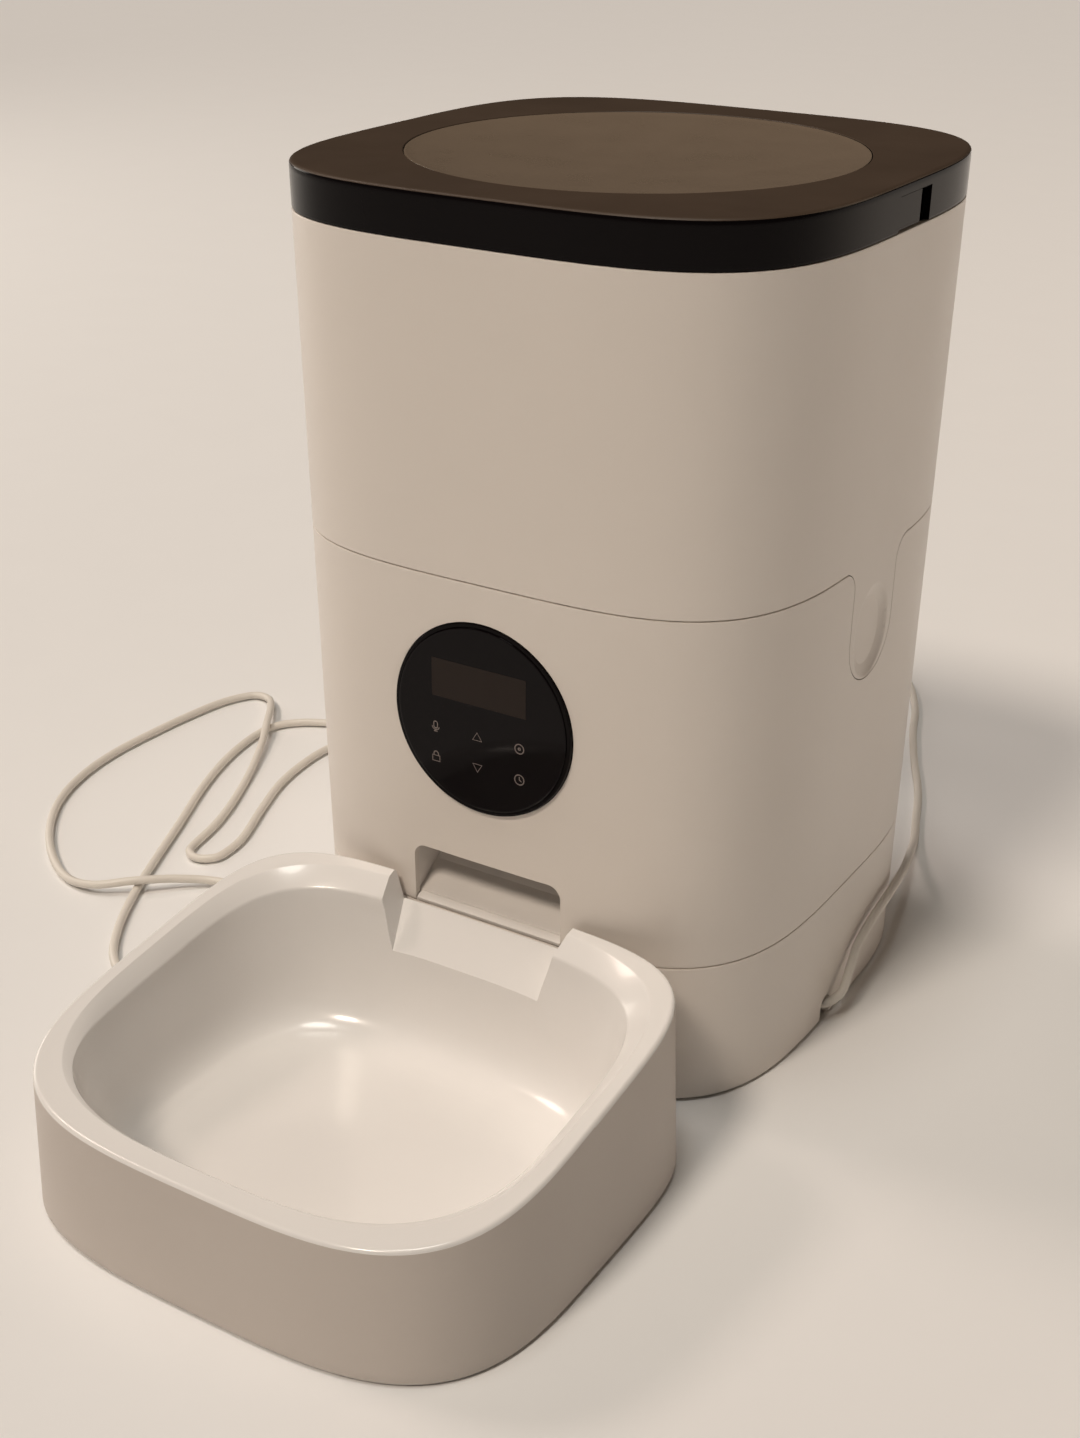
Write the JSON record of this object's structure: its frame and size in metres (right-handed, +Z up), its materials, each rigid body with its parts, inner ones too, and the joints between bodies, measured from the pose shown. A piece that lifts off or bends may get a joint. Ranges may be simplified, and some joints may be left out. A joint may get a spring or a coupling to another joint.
{
  "type": "automatic pet feeder",
  "caption": "Automatic dry-food feeder: square-round white tower with black lid, lift-off hopper, round control panel, motor-driven paddle rotor and a docked bowl.",
  "frame": {"origin": "middle of the underside's centre foot, on the rotor's axis", "axes": "+Z up, the bowl and control panel towards -Y, +X to the right of someone facing +Y"},
  "size_m": [0.3876, 0.5731, 0.311],
  "materials": {
    "white_shell": "moulded ABS with a soft gloss",
    "bowl_white": "moulded ABS, glossy inside and soft outside",
    "black_gloss": "polished black ABS",
    "dish_smoke": "satin smoked grey, fine grained",
    "panel_black": "glossy black acrylic with printed marks",
    "lcd_grey": "unlit liquid-crystal glass",
    "frame_plastic": "plain moulded",
    "food_plastic": "smooth food-grade",
    "liner_grey": "plain moulded",
    "sensor_plastic": "dark infrared-passing",
    "gear_nylon": "natural nylon",
    "rotor_plastic": "smooth moulded",
    "paddle_silicone": "soft silicone",
    "seal_silicone": "soft silicone",
    "foot_rubber": "matt",
    "steel": "turned",
    "zinc_steel": "zinc plated",
    "spring_nickel": "nickel plated",
    "bush_bronze": "sintered",
    "magnet": "nickel plated",
    "circuit_board": "solder mask",
    "component_black": "moulded",
    "desiccant_paper": "breathable paper",
    "lead_white": "soft PVC"
  },
  "bodies": {
    "base": {"base_shell": "white_shell", "base_tray": "white_shell", "inner_frame": "frame_plastic", "frame_screws": "zinc_steel", "rubber_feet": "foot_rubber", "food_chute": "food_plastic", "chute_sensors": "sensor_plastic", "gear_housing": "frame_plastic", "gear_cover": "frame_plastic", "gear_screws": "zinc_steel", "idler_pin": "steel", "drive_bush": "bush_bronze", "feed_motor": "steel", "position_sensor": "circuit_board", "panel_bezel": "black_gloss", "panel_lens": "panel_black", "lcd_module": "lcd_grey", "touch_board": "circuit_board", "main_board": "circuit_board", "board_parts": "component_black", "microphone": "steel", "speaker": "component_black", "battery_contacts": "spring_nickel", "dc_jack": "component_black", "dc_plug": "lead_white", "power_cord": "lead_white", "adapter_relief": "lead_white", "adapter_body": "white_shell", "adapter_blades": "spring_nickel"},
    "battery_door": {"battery_door": "white_shell"},
    "hopper": {"hopper_shell": "white_shell", "hopper_funnel": "food_plastic", "metering_cup": "food_plastic", "portion_shield": "food_plastic"},
    "rotor": {"rotor_hub": "rotor_plastic", "rotor_wheel": "paddle_silicone", "stirrer": "rotor_plastic", "stirrer_cap": "paddle_silicone"},
    "lid": {"lid_shell": "black_gloss", "lid_dish": "dish_smoke", "lid_liner": "liner_grey", "lid_seal": "seal_silicone", "desiccant_cage": "food_plastic", "desiccant_pack": "desiccant_paper"},
    "button_right": {"lid_button_right": "black_gloss"},
    "button_left": {"lid_button_left": "black_gloss"},
    "bowl": {"food_bowl": "bowl_white", "bowl_feet": "foot_rubber"},
    "output": {"output_gear": "gear_nylon", "drive_magnet": "magnet"},
    "idler": {"idler_gear": "gear_nylon"},
    "pinion": {"motor_pinion": "gear_nylon", "motor_shaft": "steel"}
  },
  "joints": [
    {"name": "hopper_lift", "type": "slide", "parent": "base", "child": "hopper", "axis": [0, 0, 1], "range_m": [0, 0.08]},
    {"name": "lid_lift", "type": "slide", "parent": "hopper", "child": "lid", "axis": [0, 0, 1], "range_m": [0, 0.05]},
    {"name": "button_right_press", "type": "slide", "parent": "lid", "child": "button_right", "axis": [-1, 0, 0], "range_m": [0, 0.0025], "stiffness_N_per_m": 900, "springref_m": -0.001},
    {"name": "button_left_press", "type": "slide", "parent": "lid", "child": "button_left", "axis": [1, 0, 0], "range_m": [0, 0.0025], "stiffness_N_per_m": 900, "springref_m": -0.001},
    {"name": "bowl_pull", "type": "slide", "parent": "base", "child": "bowl", "axis": [0, -1, 0], "range_m": [0, 0.04]},
    {"name": "battery_door_slide", "type": "slide", "parent": "base", "child": "battery_door", "axis": [0, 1, 0], "range_m": [0, 0.084]},
    {"name": "rotor_spin", "type": "hinge", "parent": "hopper", "child": "rotor", "pos_m": [0, 0, 0.155], "axis": [0, 0, 1], "continuous": true},
    {"name": "output_spin", "type": "hinge", "parent": "base", "child": "output", "pos_m": [0, 0, 0.112], "axis": [0, 0, 1], "continuous": true},
    {"name": "idler_spin", "type": "hinge", "parent": "base", "child": "idler", "pos_m": [0, 0.025, 0.105], "axis": [0, 0, 1], "continuous": true},
    {"name": "pinion_spin", "type": "hinge", "parent": "base", "child": "pinion", "pos_m": [0, 0.049, 0.105], "axis": [0, 0, 1], "continuous": true}
  ],
  "couplings": [
    {"joint": "output_spin", "follows": "rotor_spin", "ratio": 1},
    {"joint": "idler_spin", "follows": "rotor_spin", "ratio": -3.1667},
    {"joint": "pinion_spin", "follows": "rotor_spin", "ratio": 9.5}
  ]
}
